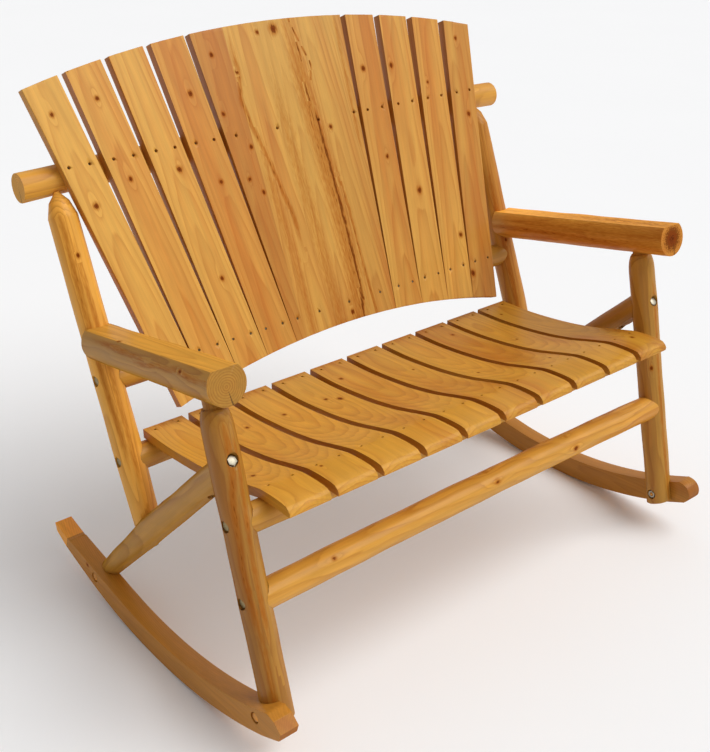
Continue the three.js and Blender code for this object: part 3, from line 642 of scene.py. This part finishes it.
def drilled(piece, spots):
    """Countersunk screw holes: each spot is a place on the surface and its outward direction."""
    cutter_shape = bmesh.new()
    for place, outward in spots:
        turn = outward.to_track_quat("Z", "Y").to_matrix().to_4x4()
        middle = Matrix.Translation(place + outward * (cutter_height / 2 - screw_depth)) @ turn
        bmesh.ops.create_cone(cutter_shape, cap_ends=True, segments=screw_sides, depth=cutter_height,
                              radius1=screw_radius * 0.92, radius2=screw_radius * 1.28, matrix=middle)
        screw_heads.append((place - outward * screw_depth, turn))
    cutter_mesh = bpy.data.meshes.new("screw_cutter")
    cutter_shape.to_mesh(cutter_mesh)
    cutter_shape.free()
    cutter = bpy.data.objects.new("screw_cutter", cutter_mesh)
    bpy.context.scene.collection.objects.link(cutter)
    modifier = piece.modifiers.new("screw_holes", "BOOLEAN")
    modifier.operation, modifier.solver, modifier.object = "DIFFERENCE", "EXACT", cutter
    cut = bpy.data.meshes.new_from_object(piece.evaluated_get(bpy.context.evaluated_depsgraph_get()))
    piece.modifiers.clear()
    old = piece.data
    piece.data = cut
    bpy.data.meshes.remove(old)
    bpy.data.objects.remove(cutter)
    bpy.data.meshes.remove(cutter_mesh)
    cut.name = piece.name
    cut.polygons.foreach_set("use_smooth", [True] * len(cut.polygons))
    cut.set_sharp_from_angle(angle=smooth_angle)


def shaded_board_sides(mesh, local, tones, counts):
    """Painted shade: the long side faces of a board, down in the gaps between boards, are painted darker
    and redder than its planed faces.
    """
    sideways = np.repeat(np.abs(face_vectors(mesh, "normal")[:, 0]) > 0.85, counts)
    tones[:, 0] *= np.where(sideways, painted_gap_shade, 1)
    tones[:, 1] += np.where(sideways, painted_gap_redness, 0)


def back_board(node, title, up, across, bottom, knots, tone, pith, screws, pieces_of=shaded_board_sides,
               streaks=()):
    """A CAD board of the back. Knots are (across, up, radius), screws (across, up) and streaks
    (fade, half width, line) on the back's plane as seen from the front."""
    shape = cad_copy(node)
    ease(shape, sharp_edges(shape, 40 * mm), board_edge)
    for direction in (across, up):
        extent = (places(shape) - np.array(bottom)) @ np.array(direction)
        slice_mesh(shape, bottom, direction, spread(extent, board_grid))
    piece = made(shape, title)
    drilled(piece, [(on_back(x, t, board_thickness), back_front) for x, t in screws])
    found = []
    for x, t, radius in knots:
        offset = on_back(x, t, board_thickness) - bottom
        found.append(((offset.dot(across), 0, offset.dot(up)), (radius * mm * 0.85, 1.0, radius * mm)))
    for fade, width, line in streaks:
        offsets = [on_back(x, t, board_thickness) - bottom for x, t in line]
        found.append(([(offset.dot(across), -fade, offset.dot(up)) for offset in offsets],
                      (width * mm, 1.0, streak_stretch * width * mm)))
    grain(piece, bottom, (across, back_front, up), pith, found, tone, pieces_of)
    finish_piece(piece, slat_wood, "slat_wood", node)


# From the board beside the panel to the outermost one
board_knots = {
    "left": [[(-214, 468, 5), (-200, 296, 4)], [(-279, 335, 5), (-255, 120, 4)],
             [(-401, 486, 4), (-381, 336, 4)], [(-492, 471, 4), (-460, 302, 5)]],
    "right": [[(206, 462, 5), (210, 273, 4)], [(283, 459, 5), (273, 187, 6)],
              [(357, 70, 5), (372, 410, 3)], [(485, 494, 4), (469, 325, 5), (365, -20, 6)]],
}
board_tones = {"left": [(0.98, 0.50), (0.95, 0.24), (0.95, 0.14), (0.95, 0.10)],
               "right": [(0.90, 0.34), (0.91, 0.26), (0.94, 0.34), (0.87, 0.42)]}
for side, sign in side_sign.items():
    for index in range(4):
        lean = sign * (panel_lean + opening + lean_step * index)
        spacing = board_width / math.cos(lean) + board_gap
        bottom_x = sign * (panel_foot_half + board_gap + spacing * (index + 0.5))
        up = (back_up * math.cos(lean) + Vector((math.sin(lean), 0, 0))).normalized()
        across = up.cross(back_front)
        draw = random.Random(200 + 10 * index + sign)
        centres = [bottom_x + (t - boards_foot) * math.tan(lean) for t in screw_rows]
        screws = [(x + offset, t) for x, t in zip(centres, screw_rows)
                  for offset in (-screw_spread, screw_spread)]
        pith = (draw.uniform(-16, 16) * mm, draw.uniform(22, 60) * mm, draw.uniform(0, 9))
        back_board(f"back_slat_{side}_{index + 1}", f"back_slat_{side}_{index + 1}_board", up, across,
                   on_back(bottom_x, boards_foot), board_knots[side][index], board_tones[side][index],
                   pith, screws)

panel_knots = [(8.6, 566, 8), (-31, 564, 4), (-146, 533, 4), (-100, 494, 4), (-155, 420, 4), (-114, 349, 4),
               (-137, 289, 4), (-113, 259, 4), (85, 357, 4), (19, -18, 5), (53, 2, 4), (49.5, 426, 3.5)]
# Streaks are (fade, half width, line): the darkest heartwood has the least fade
panel_streaks = [
    (1.18, 15.0, [(36, -34), (47, 63), (50, 184), (48, 305), (46, 400)]),
    (0.72, 4.2, [(42, -34), (52, 10), (56, 63), (57.5, 123), (59, 184), (58.6, 252), (57.8, 305),
                 (57, 358)]),
    (0.90, 2.6, [(57, 358), (49.5, 426), (49.4, 444), (56.5, 506), (53.9, 558), (50, 600)]),
    (0.98, 2.2, [(49.5, 426), (62.5, 442), (76, 489), (51.7, 572)]),
    (1.15, 3.4, [(78.5, -28), (74.6, 89), (77, 180), (72, 250)]),
    (1.12, 4.0, [(-60, 200), (-70, 248), (-82, 315), (-98.5, 383), (-108, 442), (-97, 490)]),
    (1.45, 3.0, [(148.8, 335), (162.7, 546)]),
    (1.55, 12.0, [(-16, 0), (-16, 200), (-20, 320)]),
    (1.60, 9.0, [(-86, 0), (-84, 120), (-90, 260)]),
]
# The panel's glued boards, from the left: the seams between them, their tones and their hearts
panel_seams, panel_side = (-105, -36, 62), 150
panel_tones = ((0.84, 0.44), (0.87, 0.24), (0.85, 0.22), (0.84, 0.34))
panel_piths = ((0.010, 0.034, 0.0), (-0.012, 0.050, 2.2), (0.006, 0.040, 4.9), (0.014, 0.036, 7.3))


def glued_boards(mesh, local, tones, counts):
    """Each face of the panel takes the timber and the tone of the glued board that it belongs to."""
    x = (face_vectors(mesh, "center")[:, 0] - on_back(0, 0).x) / mm
    board = np.repeat(np.searchsorted(panel_seams, x), counts)
    piths = np.array(panel_piths)[board]
    edges = np.array((-panel_side,) + panel_seams + (panel_side,)) * mm
    local += piths
    local[:, 0] -= (edges[board] + edges[board + 1]) / 2
    tones[:, :2] = np.array(panel_tones)[board]
    shaded_board_sides(mesh, local, tones, counts)


panel_screws = [(-140, 376), (-43, 375), (153, 377), (60, 376), (-115, 3.5), (17, 4), (100, 3.5), (-60, 4)]
back_board("back_centre_panel", "back_centre_panel_boards", back_up, Vector((1, 0, 0)),
           on_back(0, boards_foot), panel_knots, panel_tones[0], (0, 0, 0), panel_screws,
           glued_boards, panel_streaks)

# Seat: ten slats band-sawn to one dished contour with a rolled front, screwed on the two seat
# rails. Their rear ends are darker.
seat_rear, seat_front = 84, -372
depth_shares = [0, 0.079, 0.162, 0.228, 0.294, 0.36, 0.425, 0.491, 0.557, 0.623, 0.689, 0.776, 0.83,
                0.875, 0.919, 0.956]
rise_shares = [0, 0, 0.01, 0.04, 0.087, 0.145, 0.213, 0.3, 0.407, 0.533, 0.688, 0.891, 1, 1.035, 1.048,
               1.042]
slat_pitch, slat_depth, slat_edge = 96.2, 18, 1.3 * mm
slat_screws_y, slat_screw_spread = (70, -290), 24
seat_rear_top, seat_front_top = 403.5, 455.1
# The rear ends of the slats are drawn darker and redder, as the surround of a long knot across each slat
slat_rear_fade, rear_band_width = 1.5, 70 * mm
seat_tones = [(0.94, 0.02), (0.92, 0.10), (0.93, 0.04), (0.92, 0.18), (0.93, 0.22), (0.91, 0.34),
              (0.91, 0.24), (0.88, 0.34), (0.88, 0.14), (0.84, 0.24)]
# Knots are (across, along, radius) from a slat's middle line
slat_knots = [
    [(-12, -230, 3)], [(8, -40, 3), (-20, -300, 2)], [(-7, -44, 3)], [(15, -64, 4), (-6, -46, 3)],
    [(-20, 10, 3)], [(15, -60, 2)], [(-16, -180, 2)], [(10, 20, 3), (18, -250, 2)],
    [(-12, -100, 2)], [(8, -310, 3), (-20, 30, 2)],
]
seat_wood = wood("seat_wood", colour(222, 160, 56), colour(172, 100, 24), colour(180, 104, 26),
                 7.0 * mm, 0.44, 0.38, 0.34)
contour_y = np.array([seat_rear + share * (seat_front - seat_rear) for share in depth_shares])[::-1]
contour_z = np.array([seat_rear_top + share * (seat_front_top - seat_rear_top)
                      for share in rise_shares])[::-1]
contour_slope = np.gradient(contour_z, contour_y)


def smooth_contour(y):
    """The height of the slats' top at y on the straight lines between the contour's points, and
    what a cubic through the points adds to it, in mm."""
    index = np.clip(np.searchsorted(contour_y, y) - 1, 0, len(contour_y) - 2)
    width = contour_y[index + 1] - contour_y[index]
    rise = contour_z[index + 1] - contour_z[index]
    share = np.clip((y - contour_y[index]) / width, 0, 1)
    early = contour_slope[index] * width - rise
    late = rise - contour_slope[index + 1] * width
    return contour_z[index] + share * rise, share * (1 - share) * ((1 - share) * early + share * late)


for index in range(10):
    node = f"seat_slat_{index + 1}"
    centre_x = (index - 4.5) * slat_pitch
    origin = Vector((centre_x, 0, seat_rear_top - slat_depth / 2)) * mm + centre_shift
    shape = cad_copy(node)
    ease(shape, sharp_edges(shape, 2 * mm, of_sides=True), slat_edge, 3)
    slice_mesh(shape, origin, Vector((1, 0, 0)), np.arange(-38, 39, 9.5) * mm)
    slice_mesh(shape, origin, Vector((0, 1, 0)), np.arange(-364, 84, 9) * mm)
    points = places(shape)
    points[:, 2] += smooth_contour((points[:, 1] - centre_shift.y) / mm)[1] * mm
    put_back(shape, points)
    piece = made(shape, f"{node}_board")
    spots = []
    for y in slat_screws_y:
        level, bend = smooth_contour(np.array([y - 2.0, y, y + 2.0]))
        level = level + bend
        slope = (level[2] - level[0]) / 4
        outward = Vector((0, -slope, 1)).normalized()
        spots += [(Vector((centre_x + offset, y, level[1])) * mm + centre_shift, outward)
                  for offset in (-slat_screw_spread, slat_screw_spread)]
    drilled(piece, spots)
    draw = random.Random(300 + index)
    knots = [((x * mm, 0, y * mm), (radius * mm, 1.0, radius * knot_stretch * mm))
             for x, y, radius in slat_knots[index]]
    knots.append(((0, -slat_rear_fade, seat_rear * mm), (rear_band_width, 1.0, draw.uniform(9, 16) * mm)))
    pith = (draw.uniform(-12, 12) * mm, draw.uniform(16, 50) * mm, draw.uniform(0, 9))
    grain(piece, origin, (Vector((1, 0, 0)), Vector((0, 0, 1)), Vector((0, 1, 0))), pith, knots,
          seat_tones[index], shaded_board_sides)
    finish_piece(piece, seat_wood, "slat_wood", node)

# Fasteners: zinc-plated hex bolts and nuts, some of them in a darker, duller zinc that is partly painted
# shade of their counterbores, some tinted amber, and the plain heads of the recessed screws, at the bottom
# of the holes drilled above.
bolt_edge = 0.5 * mm
head_height = 1.2 * mm


def zinc_plate(name, tint, roughness):
    material = bpy.data.materials.new(name)
    material.use_nodes = True
    tree = material.node_tree
    shader = tree.nodes["Principled BSDF"]
    start = Value(tree, None)
    place = start.make("ShaderNodeTexCoord", {}, {}, "Object")
    spangle = place.noise((260.0, 260.0, 260.0), 3.0)
    scratch = place.noise((2600.0, 900.0, 2600.0), 1.0)
    base = start.make("ShaderNodeRGB", {}, {})
    base.socket.default_value = tint
    plated = base.blend(colour(150, 146, 128), spangle.step(0.45, 0.75) * 0.6)
    tree.links.new(plated.socket, shader.inputs["Base Color"])
    tree.links.new((roughness + (scratch - 0.5) * 0.25).socket, shader.inputs["Roughness"])
    shader.inputs["Metallic"].default_value = 1.0
    bump = start.make("ShaderNodeBump", {}, {"Strength": 0.25, "Distance": 0.0002, "Height": scratch})
    tree.links.new(bump.socket, shader.inputs["Normal"])
    return material


zinc = zinc_plate("zinc", colour(178, 171, 154), 0.45)
# Painted shade: this darker zinc is partly a dull plating, partly painted shade in the counterbores of the
# bolts that take it
dull_shaded_zinc = zinc_plate("dull_shaded_zinc", colour(150, 132, 92), 0.48)
# The bolts at the posts' and braces' feet are tinted amber, like the wood round them
amber_tinted_zinc = zinc_plate("amber_tinted_zinc", colour(226, 160, 76), 0.55)
screw_zinc = zinc_plate("screw_zinc", colour(92, 74, 46), 0.50)
for node in sorted(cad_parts):
    if "_bolt_" in node or "_nut_" in node:
        shape = cad_copy(node)
        ease(shape, sharp_edges(shape, 2 * bolt_edge), bolt_edge)
        plating = dull_shaded_zinc
        if "_nut_" in node or node.startswith("brace_top"):
            plating = zinc
        elif node.startswith(("brace_foot", "post_foot")):
            plating = amber_tinted_zinc
        finish_piece(made(shape, f"{node}_zinc"), plating, "zinc", node)

head_shape = bmesh.new()
to_middle = Matrix.Translation((0, 0, head_height / 2))
for place, turn in screw_heads:
    bmesh.ops.create_cone(head_shape, cap_ends=True, segments=screw_sides, depth=head_height,
                          radius1=screw_radius * 0.90, radius2=screw_radius * 0.80,
                          matrix=Matrix.Translation(place) @ turn @ to_middle)
heads = made(head_shape, "slat_screws")
heads.data.materials.append(screw_zinc)
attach(heads, "root")

# Floor, light and camera: a pale studio floor, a broad sun from above, the front and the right,
# a white world that is a little brighter on the right, and the camera at the photograph's place.
floor_shape = bmesh.new()
bmesh.ops.create_grid(floor_shape, x_segments=40, y_segments=40, size=20)
floor = made(floor_shape, "floor")
floor_material = bpy.data.materials.new("floor_paint")
floor_material.use_nodes = True
floor_tree = floor_material.node_tree
floor_place = Value(floor_tree, None).make("ShaderNodeTexCoord", {}, {}, "Object")
floor_tone = floor_place.noise((1.2, 1.2, 1.2), 3.0)
floor_base = floor_place.make("ShaderNodeRGB", {}, {})
floor_base.socket.default_value = (0.97, 0.98, 1.0, 1)
floor_colour = floor_base.blend((0.95, 0.96, 0.98, 1), floor_tone)
floor_shader = floor_tree.nodes["Principled BSDF"]
floor_tree.links.new(floor_colour.socket, floor_shader.inputs["Base Color"])
floor_shader.inputs["Roughness"].default_value = 0.85
floor.data.materials.append(floor_material)

world = bpy.data.worlds.new("studio")
bpy.context.scene.world = world
world.use_nodes = True
world_tree = world.node_tree
world_tree.nodes.clear()
world_start = Value(world_tree, None)
seen = world_start.make("ShaderNodeLightPath", {}, {}, "Is Camera Ray")
direction = world_start.make("ShaderNodeTexCoord", {}, {}, "Generated")
to_right = direction.make("ShaderNodeSeparateXYZ", {}, {0: direction})
ambient = 0.50 + to_right * 0.20
strength = seen * (1.0 - ambient) + ambient
background = world_start.make("ShaderNodeBackground", {}, {"Color": (1, 1, 1, 1), "Strength": strength})
world_output = world_tree.nodes.new("ShaderNodeOutputWorld")
world_tree.links.new(background.socket, world_output.inputs["Surface"])

sun = bpy.data.lights.new("sun", "SUN")
sun.energy, sun.angle, sun.color = 1.95, math.radians(50), (1.0, 0.985, 0.96)
lamp = bpy.data.objects.new("sun", sun)
lamp.rotation_mode = "QUATERNION"
lamp.rotation_quaternion = Vector((-0.48, 0.60, -0.95)).to_track_quat("-Z", "Y")
bpy.context.scene.collection.objects.link(lamp)

camera_data = bpy.data.cameras.new("camera")
camera_data.sensor_width = 36
camera_data.lens = 53.90
camera_data.shift_x = -0.0273
camera_data.shift_y = -0.0318
camera = bpy.data.objects.new("camera", camera_data)
right = Vector((0.76256, -0.64692, 0))
upward = Vector((0.27546, 0.3247, 0.90482))
forward = Vector((0.58535, 0.68998, -0.4258))
turned = Matrix((right, upward, -forward)).transposed().to_4x4()
camera.matrix_world = Matrix.Translation(Vector((-1329.1, -1525.4, 1411.3)) * mm) @ turned
bpy.context.scene.collection.objects.link(camera)
bpy.context.scene.camera = camera
bpy.context.scene.view_settings.view_transform = "Standard"
